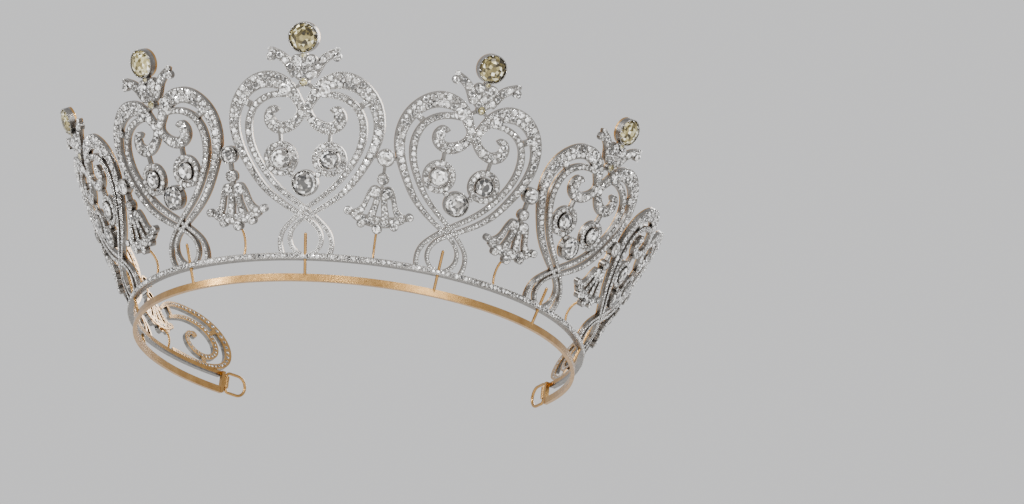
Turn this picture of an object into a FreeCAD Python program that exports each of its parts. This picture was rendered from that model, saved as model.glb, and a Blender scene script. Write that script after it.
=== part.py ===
import FreeCAD, Part
import math
import os
import Sketcher
from FreeCAD import Placement, Rotation, Vector

# A gem-set crown: an open ring of seven heart scrolls that lean outwards from a thin
# jewelled rail. Five hearts carry a leafy finial with one large stone, a bell blossom
# hangs between each pair of hearts, and a scroll closes each rear end. A gold head band
# below the rail carries the crown on the head, and a hinged wire loop at each rear end
# takes the ribbon that ties it on.
#
# Millimetres. +Z is up, the front faces -Y. The origin is the centre of the ring, on the
# plane that the head band stands on. Hearts, bells, finials and scrolls are flat drawings,
# given as (across, up) points on a flat plate that leans back by the flare angle, and are
# trimmed to one thin conical shell, so that all of them follow the curve of the ring.

doc = FreeCAD.newDocument("Crown")
sheet = doc.addObject("Spreadsheet::Sheet", "Sizes")

SIZES = {
    # the ring and its lean
    "ring_radius": 86,
    "flare_angle": 27.8,
    "plate_thickness": 1.8,
    # the jewelled rail and the head band under it
    "rail_height": 2.2,
    "rail_depth": 2.2,
    "rail_proud": 0.4,
    "band_inset": 2.4,
    "band_thickness": 1.4,
    "band_height": 2.6,
    "band_drop": 7,
    # widths over the strands of the hearts, from the front one to the rear ones
    "heart_width_front": 56.6,
    "heart_width_second": 54.6,
    "heart_width_third": 52.1,
    "heart_width_rear": 49.2,
    "heart_gap": 0.6,
    "scroll_gap": 4.5,
    # girdle radii of the stones on a front heart or bell; smaller hearts scale them
    "halo_stone": 3.2,
    "lower_stone": 4.35,
    "flame_stone": 5.1,
    "flame_base_stone": 1.4,
    "flame_top_stone": 0.9,
    "bell_upper_stone": 2.85,
    "bell_lower_stone": 1.8,
    # settings
    "collet_wall": 0.4,
    "seat_clearance": 0.03,
    "halo_gap": 0.5,
    "halo_width": 2.1,
    # gold wires and pins
    "post_radius": 0.55,
    "stay_radius": 0.45,
    # hinge of each ribbon loop
    "loop_wire_radius": 0.6,
    "hinge_clearance": 0.05,
    "knuckle_wall": 0.6,
    "knuckle_length": 4.6,
    "loop_height": 8,
    "loop_reach": 9.5,
}
for row, (alias, value) in enumerate(SIZES.items(), start=1):
    sheet.set(f"A{row}", alias)
    sheet.set(f"B{row}", str(value))
    sheet.setAlias(f"B{row}", alias)
doc.recompute()


def size(alias):
    return float(sheet.get(alias))


# Proportions of a brilliant-cut stone, as shares of its girdle radius
TABLE, CROWN, GIRDLE, PAVILION, CULET = 0.58, 0.32, 0.08, 0.80, 0.10
LEDGE_DROP, LEDGE_HOLE = 0.17, 0.84
COLLET_DEPTH = 0.5      # how deep a collet is, as a share of its stone's radius
COLLET_PAST = 0.2       # how far a collet comes out at the back of the plate at the least
STONE_PROUD = 0.45

DRAWN_WIDTH = 56.6      # width of a heart as its strands are drawn below
COLLET_LEVEL = 37.7     # height up the plate where bell collets sit between the hearts
HEART_HALF_AT_COLLET = 25.7
HEART_FLARE = 0.5       # how much wider half a heart gets with each step up, near that level

lean = math.radians(size("flare_angle"))
radius = size("ring_radius")
rail_z = size("band_height") / 2 + size("band_drop")
band_line = radius - size("band_inset") - size("band_thickness") / 2     # middle of the band

HEART_WIDTHS = ["heart_width_front", "heart_width_second", "heart_width_third", "heart_width_rear"]
heart_scales = [round(size(alias) / DRAWN_WIDTH, 4) for alias in HEART_WIDTHS]
bell_scales = [round((a + b) / 2, 4) for a, b in zip(heart_scales, heart_scales[1:] + heart_scales[-1:])]


# ---------------------------------------------------------------- where things go

def turn(azimuth):
    """Turns a piece made at the front to its place round the ring."""
    return Placement(Vector(), Rotation(Vector(0, 0, 1), azimuth))


def seat(across, up):
    """Frame on the front cone at a plate's (across, up): x along the ring, z outwards."""
    reach = radius + up * math.sin(lean)
    square = 1 - math.tan(lean) ** 2
    linear = 2 * reach / math.cos(lean)
    inward = (-linear + math.sqrt(linear**2 - 4 * square * across**2)) / (2 * square)
    x = across
    y = -(reach + inward * math.cos(lean))
    z = rail_z + up * math.cos(lean) - inward * math.sin(lean)
    facing = math.degrees(math.atan2(x, -y))
    tilt = Rotation(Vector(1, 0, 0), 90 + math.degrees(lean))
    return Placement(Vector(x, y, z), Rotation(Vector(0, 0, 1), facing).multiply(tilt))


def above(place, height):
    """The same frame, moved along its own z."""
    return place.multiply(Placement(Vector(0, 0, height), Rotation()))


def span(width, level):
    """Angle round the ring that a width takes at a height up the plate."""
    return math.degrees(math.asin(width / (radius + level * math.sin(lean))))


def heart_half(scale, level):
    """Half the width of a heart at a height up the plate near its bell collets."""
    return (HEART_HALF_AT_COLLET + HEART_FLARE * (level / scale - COLLET_LEVEL)) * scale


heart_azimuths, bell_azimuths = [0.0], []
for near, far, bell in zip(heart_scales, heart_scales[1:], bell_scales):
    level = COLLET_LEVEL * bell
    gap = 2 * (size("bell_upper_stone") + size("collet_wall")) * bell + size("heart_gap")
    edge = heart_azimuths[-1] + span(heart_half(near, level), level)
    bell_azimuths.append(edge + span(gap / 2, level))
    heart_azimuths.append(edge + span(gap, level) + span(heart_half(far, level), level))
rear_level = COLLET_LEVEL * bell_scales[-1]
rear_gap = 2 * (size("bell_upper_stone") + size("collet_wall")) * bell_scales[-1] + size("heart_gap")
rear_edge = heart_azimuths[-1] + span(heart_half(heart_scales[-1], rear_level), rear_level)
bell_azimuths.append(rear_edge + span(rear_gap / 2, rear_level))

SCROLL_HALF = 18.0      # half the width of an end scroll as it is drawn
SCROLL_LEVEL = 15.0
SCROLL_RAIL = 10.0      # how far past a scroll's middle the rail runs
scroll_azimuth = bell_azimuths[-1] + span(size("scroll_gap") + SCROLL_HALF, SCROLL_LEVEL)
end_azimuth = scroll_azimuth + span(SCROLL_RAIL, 0)


# ---------------------------------------------------------------- making solids

def primitive(kind, name, place, **bound):
    """A Part primitive whose sizes are expressions on the sheet."""
    solid = doc.addObject(kind, name)
    for prop, expression in bound.items():
        solid.setExpression(prop, str(expression))
    solid.Placement = place
    return solid


def boolean(kind, name, base, tool):
    """A Part::Cut or Part::Common, with its faces left as they meet rather than merged."""
    result = doc.addObject(kind, name)
    result.Base = base
    result.Tool = tool
    result.Refine = False
    return result


def fuse(name, solids):
    """One solid of all of them, its faces left in the same way."""
    result = doc.addObject("Part::MultiFuse", name)
    result.Shapes = solids
    result.Refine = False
    return result


def group(name, solids):
    result = doc.addObject("Part::Compound", name)
    result.Links = solids
    return result


def spline(points):
    curve = Part.BSplineCurve()
    curve.interpolate(points)
    return curve


def ribbon(points, scale, mirrored=False):
    """Flat face of a strand through (across, up, width) points."""
    side = -scale if mirrored else scale
    middle = [Vector(across * side, up * scale, 0) for across, up, width in points]
    spine = spline(middle)
    left, right = [], []
    for point, (across, up, width) in zip(middle, points):
        along = spine.tangent(spine.parameter(point))[0]
        offset = Vector(-along.y, along.x, 0) * (width * scale / 2)
        left.append(point + offset)
        right.append(point - offset)
    edges = [
        spline(left).toShape(),
        Part.makeLine(left[-1], right[-1]),
        spline(right).toShape(),
        Part.makeLine(right[0], left[0]),
    ]
    return Part.Face(Part.Wire(Part.__sortEdges__(edges)))


def disc(across, up, outer, scale, inner=0.0, mirrored=False):
    """Flat round face, or a flat ring where it has an inner radius."""
    centre = Vector(-across * scale if mirrored else across * scale, up * scale, 0)
    face = Part.Face(Part.Wire(Part.makeCircle(outer * scale, centre)))
    if inner:
        face = face.cut(Part.Face(Part.Wire(Part.makeCircle(inner * scale, centre))))
    return face


PLATE_BACK = 14.0       # how far a drawing is extruded, to reach through the curved shell


def plate(name, faces):
    """The drawing as an upright block on the leaning plane, ready for the shell to trim."""
    blocks = []
    for face in faces:
        face.translate(Vector(0, 0, -PLATE_BACK))
        blocks.append(face.extrude(Vector(0, 0, PLATE_BACK + 1)))
    shape = blocks[0].multiFuse(blocks[1:]).removeSplitter() if len(blocks) > 1 else blocks[0]
    block = doc.addObject("Part::Feature", name)
    block.Shape = shape
    tilt = Rotation(Vector(1, 0, 0), 90 + math.degrees(lean))
    block.Placement = Placement(Vector(0, -radius, rail_z), tilt)
    return block


SHELL_BELOW, SHELL_ABOVE = 6.0, 84.0


def shell_cone(name, inset):
    return primitive(
        "Part::Cone", name, Placement(Vector(0, 0, rail_z - SHELL_BELOW), Rotation()),
        Radius1=f"Sizes.ring_radius - {SHELL_BELOW} * tan(Sizes.flare_angle * 1 deg) - {inset}",
        Radius2=f"Sizes.ring_radius + {SHELL_ABOVE} * tan(Sizes.flare_angle * 1 deg) - {inset}",
        Height=SHELL_BELOW + SHELL_ABOVE,
    )


shell = boolean(
    "Part::Cut", "plate_shell",
    shell_cone("shell_front", "0"),
    shell_cone("shell_back", "Sizes.plate_thickness / cos(Sizes.flare_angle * 1 deg)"),
)


class Setting:
    """One stone with its collet, at a plate's (across, up)."""

    def __init__(self, name, across, up, stone, scale, mirrored=False):
        self.name = name
        self.radius = f"Sizes.{stone} * {scale}"
        self.girdle = size(stone) * scale
        self.place = seat(-across * scale if mirrored else across * scale, up * scale)

    def at(self, height):
        return above(self.place, height)

    def collet(self):
        """The blank of the collet, before its seat is cut."""
        top = STONE_PROUD + GIRDLE * self.girdle
        deep = COLLET_DEPTH * self.girdle + size("collet_wall") - STONE_PROUD
        bottom = -max(deep, size("plate_thickness") + COLLET_PAST)
        return primitive(
            "Part::Cylinder", self.name + "_collet", self.at(bottom),
            Radius=f"{self.radius} + Sizes.collet_wall", Height=top - bottom,
        )

    def cutters(self):
        """The counterbore that the girdle drops into and the open hole under it."""
        ledge = STONE_PROUD - LEDGE_DROP * self.girdle
        below = STONE_PROUD - 2 * self.girdle - size("plate_thickness")
        return [
            primitive("Part::Cylinder", self.name + "_seat", self.at(ledge),
                      Radius=f"{self.radius} + Sizes.seat_clearance", Height=2 * self.girdle),
            primitive("Part::Cylinder", self.name + "_hole", self.at(below),
                      Radius=f"{LEDGE_HOLE} * {self.radius}", Height=ledge - below + 0.1),
        ]

    def stone(self):
        """Pavilion, girdle and crown of a round stone."""
        return fuse(self.name, [
            primitive("Part::Cone", self.name + "_pavilion",
                      self.at(STONE_PROUD - PAVILION * self.girdle),
                      Radius1=f"{CULET} * {self.radius}", Radius2=self.radius,
                      Height=f"{PAVILION} * {self.radius}"),
            primitive("Part::Cylinder", self.name + "_girdle", self.at(STONE_PROUD),
                      Radius=self.radius, Height=f"{GIRDLE} * {self.radius}"),
            primitive("Part::Cone", self.name + "_crown",
                      self.at(STONE_PROUD + GIRDLE * self.girdle),
                      Radius1=self.radius, Radius2=f"{TABLE} * {self.radius}",
                      Height=f"{CROWN} * {self.radius}"),
        ])


def bead(name, across, up, outer, scale, mirrored=False, front=0.5, back=1.4):
    """Short stud that stands proud of the plate, the seat of one small stone."""
    place = seat(-across * scale if mirrored else across * scale, up * scale)
    return primitive("Part::Cylinder", name, above(place, -back),
                     Radius=outer * scale, Height=front + back)


nodes = []


def node(piece, label, azimuth=0.0):
    """Names a finished piece and turns it to its place round the ring."""
    piece.Label = label
    piece.Placement = turn(azimuth)
    nodes.append(piece)
    return piece


# ---------------------------------------------------------------- rail and head band

def ring_body(label, outer, inner, bottom, top):
    """Open ring of rectangular section, revolved evenly to both sides of the front."""
    body = doc.addObject("PartDesign::Body", label)
    section = body.newObject("Sketcher::SketchObject", label + "_section")
    plane = next(f for f in body.Origin.OriginFeatures if f.Role == "YZ_Plane")
    section.AttachmentSupport = [(plane, "")]
    section.MapMode = "FlatFace"
    corners = [Vector(-90, 0, 0), Vector(-80, 0, 0), Vector(-80, 5, 0), Vector(-90, 5, 0)]
    for start, end in zip(corners, corners[1:] + corners[:1]):
        section.addGeometry(Part.LineSegment(start, end))
    for line in range(4):
        section.addConstraint(Sketcher.Constraint("Coincident", line, 2, (line + 1) % 4, 1))
        section.addConstraint(Sketcher.Constraint("Vertical" if line % 2 else "Horizontal", line))
    for name, kind, line, expression in [
        ("outer", "DistanceX", 0, outer), ("inner", "DistanceX", 1, inner),
        ("bottom", "DistanceY", 0, bottom), ("top", "DistanceY", 2, top),
    ]:
        ends = (line, 1, -1, 1) if kind == "DistanceX" else (-1, 1, line, 1)
        index = section.addConstraint(Sketcher.Constraint(kind, *ends, 85.0 if line < 2 else 5.0))
        section.renameConstraint(index, name)
        section.setExpression("Constraints." + name, expression)
    ring = body.newObject("PartDesign::Revolution", label + "_ring")
    ring.Profile = section
    ring.ReferenceAxis = (section, ["V_Axis"])
    ring.Angle = 2 * end_azimuth
    ring.Midplane = True
    body.Tip = ring
    return node(body, label)


rail_outer = "Sizes.ring_radius + Sizes.rail_proud"
band_outer = "Sizes.ring_radius - Sizes.band_inset"
band_middle = "Sizes.band_height / 2 + Sizes.band_drop"
ring_body(
    "base_rail", rail_outer, f"{rail_outer} - Sizes.rail_depth",
    f"{band_middle} - Sizes.rail_height / 2", f"{band_middle} + Sizes.rail_height / 2",
)
ring_body(
    "head_band", band_outer, f"{band_outer} - Sizes.band_thickness",
    "0", "Sizes.band_height",
)


# ---------------------------------------------------------------- drawings

# Right half of a heart. The outer strand starts on the rail as half of the little ring,
# crosses the middle, swells up the side and over the lobe, and ends in a volute. The inner
# strand starts as the wider loop round that ring and crosses above it.
HEART_OUTER = [
    (0.5, 0.1, 1.4), (-3.6, 1.5, 1.3), (-5.6, 4.7, 1.3), (-5.3, 8.4, 1.3), (-3, 11.6, 1.4),
    (0.6, 14.1, 1.5), (4.9, 16.6, 1.7), (9.8, 19.7, 2.0),
    (15.8, 24.8, 2.3), (20.3, 30.9, 2.7), (24.1, 37.6, 3.2), (26, 43, 3.6), (26.4, 48.5, 3.9),
    (25, 54, 4.6), (21.6, 58.9, 5.2), (17.5, 61.7, 5.8), (13, 62.6, 6.0), (8.6, 61.6, 5.4),
    (5, 59, 4.4), (2.6, 55.5, 3.4), (1.1, 52, 3.0), (2.4, 48.9, 3.2), (5, 46.6, 3.9),
    (9.2, 45.5, 4.3), (12.4, 47.2, 4.1), (13.1, 50, 3.5), (11.8, 52, 2.8), (9.8, 51.4, 1.8),
]
HEART_INNER = [
    (-8.2, -0.5, 1.5), (-9.4, 3.5, 1.4), (-8.7, 7.9, 1.4), (-6, 11.6, 1.4), (-1.6, 15.6, 1.5),
    (3.6, 19.4, 1.7), (10.2, 24.6, 1.9), (16, 31.6, 2.2), (20, 39.3, 2.5),
    (20.9, 46.5, 2.6), (19, 52.3, 2.4), (14.8, 56, 2.4), (10.5, 57.4, 2.4), (6.4, 57.6, 2.4),
]
HEART_BRIDGE = [(20, 53.4, 2.4), (22.2, 54.6, 2.2), (24.4, 56, 2.4)]

HALO = (8.9, 34.5)
LOWER_STONE = (0, 26)
CLUSTER_LINK = [(9.2, 44.4, 1.3), (9.05, 42.6, 1.0), (8.9, 40, 1.3)]
CLUSTER_BEAD = (4.9, 29, 1.0)

FLAME_BODY = [(0, 62.4, 4.0), (0, 64, 7.4), (0, 66.6, 9.4), (0, 69.4, 8.8)]
FLAME_LEAF = [
    (3.2, 64.2, 3.2), (5, 67, 3.2), (6.6, 69.4, 3.2), (8.6, 71, 3.2), (10.6, 72.3, 2.6),
    (12.2, 73.7, 1.2),
]
FLAME_LEG = [(0.6, 61.6, 1.3), (2.6, 60.2, 1.1), (4.8, 58.8, 1.3)]
FLAME_TOP_LOBE = (2.4, 69.4, 2.3)
FLAME_BEAD = (12, 70.8, 1.6)
FLAME_BASE = (0, 61.9)
FLAME_TOP = (0, 71.4)
FLAME_STEM = [(0, 70.6, 2.2), (0, 72.4, 1.8), (0, 74.2, 2.4)]
FLAME_STONE = (0, 77.6)

BELL_LOBE = (2.3, 25.1, 2.35)
BELL_ARM = [(3.5, 25.2, 2.4), (4.8, 22.4, 1.9), (5.7, 19.6, 2.1), (7.2, 17.3, 2.8), (10.5, 16.7, 2.0)]
BELL_PETAL = [(1.1, 24.4, 2.6), (1.5, 21, 2.4), (2, 18.4, 2.6), (2.8, 15.4, 3.2)]
BELL_SKIRT = [(-9.2, 16, 2.2), (-6, 14.9, 3.4), (0, 14.2, 4.0), (6, 14.9, 3.4), (9.2, 16, 2.2)]
BELL_TIP = (11.2, 17.2, 1.5)
BELL_DROPS = [(6, 13.2, 1.6), (0, 11.8, 1.9), (-6, 13.2, 1.6)]
BELL_UPPER = (0, 37.7)
BELL_LOWER = (0, 29.9)

# An end scroll, drawn round its own middle, the rear to the right
SCROLL_OUTER = [
    (-17.5, 21.4, 1.2), (-14, 25, 1.8), (-8, 28.2, 2.2), (1, 29, 2.6), (10, 26, 3.0),
    (15.6, 19.2, 3.2), (16.6, 11.5, 3.0), (13.4, 4.9, 2.6), (6.5, 1.6, 2.2), (-4, 0.9, 2.0),
    (-17, 0.7, 1.6),
]
SCROLL_INNER = [
    (-12.6, 19.4, 1.2), (-8, 21.8, 1.6), (-1, 23.6, 2.0), (6.4, 21.5, 2.2), (10.6, 15.5, 2.4),
    (9.8, 9.4, 2.4), (5, 5.9, 2.4), (-1, 6.6, 2.4), (-4.3, 10.6, 2.2), (-3.4, 14.8, 2.0),
    (0.6, 16.2, 1.6),
]
SCROLL_BRIDGES = [
    [(12.6, 21.4, 2.0), (10.6, 20, 1.8), (8.4, 18.6, 2.0)],
    [(1.6, 6.2, 1.8), (2, 4, 1.6), (2.2, 1.6, 1.8)],
    [(-12.2, 25.8, 1.6), (-11.6, 23, 1.5), (-11, 20.4, 1.6)],
]
SCROLL_BEAD = (0.4, 16.1, 1.5)


# ---------------------------------------------------------------- hearts

def heart_plate(name, scale):
    faces = []
    for mirrored in (False, True):
        for strand in (HEART_OUTER, HEART_INNER, HEART_BRIDGE):
            faces.append(ribbon(strand, scale, mirrored))
    return plate(name, faces)


def halo(name, scale, mirrored):
    """Ring of small stones round a halo's centre stone: a thick washer on the plate."""
    place = seat(-HALO[0] * scale if mirrored else HALO[0] * scale, HALO[1] * scale)
    inner = f"(Sizes.halo_stone + Sizes.collet_wall + Sizes.halo_gap) * {scale}"
    thickness = size("plate_thickness")
    return boolean(
        "Part::Cut", name,
        primitive("Part::Cylinder", name + "_disc", above(place, -thickness),
                  Radius=f"{inner} + Sizes.halo_width * {scale}", Height="Sizes.plate_thickness"),
        primitive("Part::Cylinder", name + "_gap", above(place, -thickness - 1),
                  Radius=inner, Height="Sizes.plate_thickness + 2"),
    )


def halo_spokes(name, scale, mirrored):
    """Two crossed bars behind a halo that carry its centre collet."""
    place = seat(-HALO[0] * scale if mirrored else HALO[0] * scale, HALO[1] * scale)
    reach = (size("halo_stone") + size("collet_wall") + size("halo_gap") + 1) * scale
    width, depth = 0.9, 0.8
    bars = []
    for index, angle in enumerate((45, 135)):
        corner = Placement(Vector(-reach, -width / 2, -size("plate_thickness")), Rotation())
        turned = place.multiply(Placement(Vector(), Rotation(Vector(0, 0, 1), angle)))
        bars.append(primitive("Part::Box", f"{name}_{index}", turned.multiply(corner),
                              Length=2 * reach, Width=width, Height=depth))
    return bars


def cluster_parts(name, scale):
    """Shared solids of the two halos and the lower stone inside a heart."""
    links = [ribbon(CLUSTER_LINK, scale, mirrored) for mirrored in (False, True)]
    solids = [boolean("Part::Common", name + "_links", plate(name + "_bars", links), shell)]
    settings = [Setting(name + "_lower", *LOWER_STONE, "lower_stone", scale)]
    for mirrored, side in ((False, "right"), (True, "left")):
        settings.append(Setting(f"{name}_{side}", *HALO, "halo_stone", scale, mirrored))
        solids.append(halo(f"{name}_{side}_halo", scale, mirrored))
        solids += halo_spokes(f"{name}_{side}_spoke", scale, mirrored)
        solids.append(bead(f"{name}_{side}_bead", *CLUSTER_BEAD, scale, mirrored, 0.4, 1.2))
    return mount(name, solids, settings)


def mount(name, solids, settings):
    """Fuses the blanks, then cuts every seat; gives the mount and its stones."""
    blanks = fuse(name + "_blank", solids + [setting.collet() for setting in settings])
    cutters = fuse(name + "_cutters", [cutter for setting in settings for cutter in setting.cutters()])
    return blanks, cutters, [setting.stone() for setting in settings]


def flame_parts(name, scale):
    """Leafy finial that carries the large top stone."""
    faces = [ribbon(FLAME_BODY, scale), ribbon(FLAME_STEM, scale)]
    beads = []
    for mirrored, side in ((False, "right"), (True, "left")):
        faces.append(ribbon(FLAME_LEAF, scale, mirrored))
        faces.append(ribbon(FLAME_LEG, scale, mirrored))
        faces.append(disc(*FLAME_TOP_LOBE, scale, mirrored=mirrored))
        beads.append(bead(f"{name}_{side}_bead", *FLAME_BEAD, scale, mirrored))
    leaves = boolean("Part::Common", name + "_leaves", plate(name + "_drawing", faces), shell)
    settings = [
        Setting(name + "_base", *FLAME_BASE, "flame_base_stone", scale),
        Setting(name + "_top", *FLAME_TOP, "flame_top_stone", scale),
        Setting(name + "_large", *FLAME_STONE, "flame_stone", scale),
    ]
    return mount(name, [leaves] + beads, settings)


PLACES = ["front", "second", "third", "rear"]
for index, (place_name, scale) in enumerate(zip(PLACES, heart_scales)):
    drawing = heart_plate(place_name + "_heart_drawing", scale)
    blanks, cutters, stones = cluster_parts(place_name + "_cluster", scale)
    finial = flame_parts(place_name + "_flame", scale) if place_name != "rear" else None
    sides = [("", 1)] if index == 0 else [("_right", 1), ("_left", -1)]
    for side, sign in sides:
        label = place_name + side
        azimuth = sign * heart_azimuths[index]
        node(boolean("Part::Common", "heart_" + label, drawing, shell), "heart_frame_" + label, azimuth)
        node(boolean("Part::Cut", "mounts_" + label, blanks, cutters), "cluster_mounts_" + label, azimuth)
        node(group("stones_" + label, stones), "cluster_stones_" + label, azimuth)
        if finial:
            node(boolean("Part::Cut", "flame_" + label, finial[0], finial[1]),
                 "flame_frame_" + label, azimuth)
            node(group("gems_" + label, finial[2]), "flame_stones_" + label, azimuth)


# ---------------------------------------------------------------- bells

def bell_parts(name, scale):
    faces = [ribbon(BELL_SKIRT, scale)]
    studs = []
    for mirrored, side in ((False, "right"), (True, "left")):
        faces.append(disc(*BELL_LOBE, scale, mirrored=mirrored))
        faces.append(ribbon(BELL_ARM, scale, mirrored))
        faces.append(ribbon(BELL_PETAL, scale, mirrored))
        studs.append(bead(f"{name}_{side}_tip", *BELL_TIP, scale, mirrored, 0.4, 1.5))
    for index, drop in enumerate(BELL_DROPS):
        studs.append(bead(f"{name}_drop_{index}", *drop, scale, False, 0.4, 1.6))
    blossom = boolean("Part::Common", name + "_blossom", plate(name + "_drawing", faces), shell)
    return fuse(name + "_whole", [blossom] + studs)


def bell_collet_parts(name, scale):
    """Two stacked collets over a bell, with a lug to the heart on each side."""
    outer = (size("bell_upper_stone") + size("collet_wall")) * scale
    reach = (outer + size("heart_gap") / 2 + 1.4) / scale
    lugs = [
        ribbon([(-reach, BELL_UPPER[1], 1.1), (0, BELL_UPPER[1], 1.1), (reach, BELL_UPPER[1], 1.1)], scale),
        ribbon([(0, BELL_UPPER[1] - 2, 1.2), (0, 33, 1.2), (0, 26.4, 1.2)], scale),
    ]
    bars = boolean("Part::Common", name + "_bars", plate(name + "_lugs", lugs), shell)
    settings = [
        Setting(name + "_upper", *BELL_UPPER, "bell_upper_stone", scale),
        Setting(name + "_lower", *BELL_LOWER, "bell_lower_stone", scale),
    ]
    return mount(name, [bars], settings)


def wire(path, thickness):
    """Round wire along a wire of edges."""
    start = path.Edges[0]
    along = start.tangentAt(start.FirstParameter)
    section = Part.Wire(Part.makeCircle(thickness, start.Vertexes[0].Point, along))
    return path.makePipeShell([section], True, False)


def stay_parts(name, scale):
    """Wire that bows inwards from the back of a bell down to the rail."""
    top = above(seat(0, (BELL_DROPS[1][1] + 0.4) * scale), -1.0).Base
    foot = Vector(0, -(radius + size("rail_proud") - size("rail_depth") / 2), rail_z)
    belly = (top + foot) / 2 + Vector(0, 3.2 * scale, 0)
    stay = doc.addObject("Part::Feature", name)
    stay.Shape = wire(Part.Wire(Part.Arc(top, belly, foot).toShape()), size("stay_radius"))
    return stay


stays = []
bell_stones = {1: [], -1: []}
for index, (scale, azimuth) in enumerate(zip(bell_scales, bell_azimuths), start=1):
    blossom = bell_parts(f"bell_{index}", scale)
    blanks, cutters, stones = bell_collet_parts(f"bell_collet_{index}", scale)
    stay = stay_parts(f"stay_{index}", scale)
    for side, sign in (("right", 1), ("left", -1)):
        label = f"{side}_{index}"
        node(group("bell_piece_" + label, [blossom]), "bell_" + label, sign * azimuth)
        node(boolean("Part::Cut", "collets_" + label, blanks, cutters),
             "bell_collets_" + label, sign * azimuth)
        for name, pieces, kept in (("gems", stones, bell_stones[sign]), ("stay", [stay], stays)):
            turned = group(f"{name}_{label}", pieces)
            turned.Placement = turn(sign * azimuth)
            kept.append(turned)
node(group("stays", stays), "bell_stays")
node(group("right_gems", bell_stones[1]), "bell_stones_right")
node(group("left_gems", bell_stones[-1]), "bell_stones_left")


# ---------------------------------------------------------------- posts and end scrolls

POST_TIP = 7.8      # how far up its loop the tip of a post stands

posts = []
for index, scale in enumerate(heart_scales):
    foot = Vector(0, -band_line, size("band_height") / 2)
    tip = above(seat(0, POST_TIP * scale), -size("plate_thickness") / 2).Base
    upright = Placement(foot, Rotation(Vector(0, 0, 1), tip - foot))
    pin = primitive("Part::Cylinder", f"post_pin_{index}", upright,
                    Radius="Sizes.post_radius", Height=(tip - foot).Length)
    knob = primitive("Part::Sphere", f"post_knob_{index}", Placement(tip, Rotation()),
                     Radius="Sizes.post_radius")
    post = fuse(f"post_{index}", [pin, knob])
    for sign in (1, -1) if index else (1,):
        turned = group(f"post_{index}_{sign + 1}", [post])
        turned.Placement = turn(sign * heart_azimuths[index])
        posts.append(turned)
node(group("posts", posts), "heart_posts")

for side, sign in (("right", 1), ("left", -1)):
    mirrored = sign < 0
    faces = [ribbon(strand, 1, mirrored) for strand in [SCROLL_OUTER, SCROLL_INNER, *SCROLL_BRIDGES]]
    faces.append(disc(*SCROLL_BEAD, 1, mirrored=mirrored))
    drawing = plate(f"scroll_drawing_{side}", faces)
    node(boolean("Part::Common", "scroll_" + side, drawing, shell),
         "end_scroll_" + side, sign * scroll_azimuth)


# ---------------------------------------------------------------- ribbon loops

STRUT = 1.6         # side of the square strut that joins rail and band at each end
FILLET = 1.6        # bend of the loop's wire at its corners
bore = size("loop_wire_radius") + size("hinge_clearance")
barrel = bore + size("knuckle_wall")
hinge_z = (size("band_height") / 2 + rail_z) / 2 + 0.2
hinge_offset = STRUT / 2 + barrel - 0.2

for side, sign in (("right", 1), ("left", -1)):
    # drawn at the front with the rear to the right (+X), then turned to the end of the ring
    hinge = Vector(sign * hinge_offset, -band_line, hinge_z)
    strut = primitive(
        "Part::Box", "strut_" + side, Placement(Vector(-STRUT / 2, -band_line - STRUT / 2, 0.4), Rotation()),
        Length=STRUT, Width=STRUT, Height=f"{band_middle} + Sizes.rail_height / 2 - 0.8",
    )
    step = primitive(
        "Part::Box", "rail_step_" + side,
        Placement(Vector(-STRUT / 2, -radius - 0.2, rail_z - 0.8), Rotation()),
        Length=STRUT, Width=radius + 0.2 - band_line, Height=1.4,
    )
    eye = primitive("Part::Cylinder", "eye_" + side, Placement(
        hinge - Vector(0, 0, size("knuckle_length") / 2), Rotation()),
        Radius="Sizes.loop_wire_radius + Sizes.hinge_clearance + Sizes.knuckle_wall",
        Height="Sizes.knuckle_length")
    hole = primitive("Part::Cylinder", "eye_hole_" + side, Placement(
        hinge - Vector(0, 0, size("knuckle_length")), Rotation()),
        Radius="Sizes.loop_wire_radius + Sizes.hinge_clearance", Height="2 * Sizes.knuckle_length")
    knuckle = boolean("Part::Cut", "knuckle_" + side, fuse("knuckle_blank_" + side, [strut, step, eye]), hole)
    node(knuckle, "loop_knuckle_" + side, sign * end_azimuth)

    half = size("loop_height") / 2
    reach = size("loop_reach")
    rear = Vector(sign, 0, 0)
    up = Vector(0, 0, 1)

    def corner(vertical, sideways):
        """Quarter bend that runs from the pin to a leg, or back."""
        centre = hinge + rear * FILLET + up * vertical * (half - FILLET)
        points = [centre - rear * FILLET,
                  centre + (up * vertical - rear) * FILLET / math.sqrt(2),
                  centre + up * vertical * FILLET]
        return points if sideways else points[::-1]

    top_bend, bottom_bend = corner(1, True), corner(-1, False)
    bow_top = hinge + rear * (reach - half) + up * half
    bow_bottom = hinge + rear * (reach - half) - up * half
    edges = [
        Part.makeLine(hinge, top_bend[0]),
        Part.Arc(*top_bend).toShape(),
        Part.makeLine(top_bend[2], bow_top),
        Part.Arc(bow_top, hinge + rear * reach, bow_bottom).toShape(),
        Part.makeLine(bow_bottom, bottom_bend[0]),
        Part.Arc(*bottom_bend).toShape(),
        Part.makeLine(bottom_bend[2], hinge),
    ]
    loop = doc.addObject("Part::Feature", "loop_" + side)
    loop.Shape = wire(Part.Wire(edges), size("loop_wire_radius"))
    node(loop, "ribbon_loop_" + side, sign * end_azimuth)


# ---------------------------------------------------------------- check and write

doc.recompute()
for item in doc.Objects:
    if {"Invalid", "Error"} & set(item.State):
        raise RuntimeError(f"{item.Label} did not build: {item.State}")
for piece in nodes:
    if piece.Shape.isNull() or not piece.Shape.isValid() or piece.Shape.Volume <= 0:
        raise RuntimeError(f"{piece.Label} has no valid solid")

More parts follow.
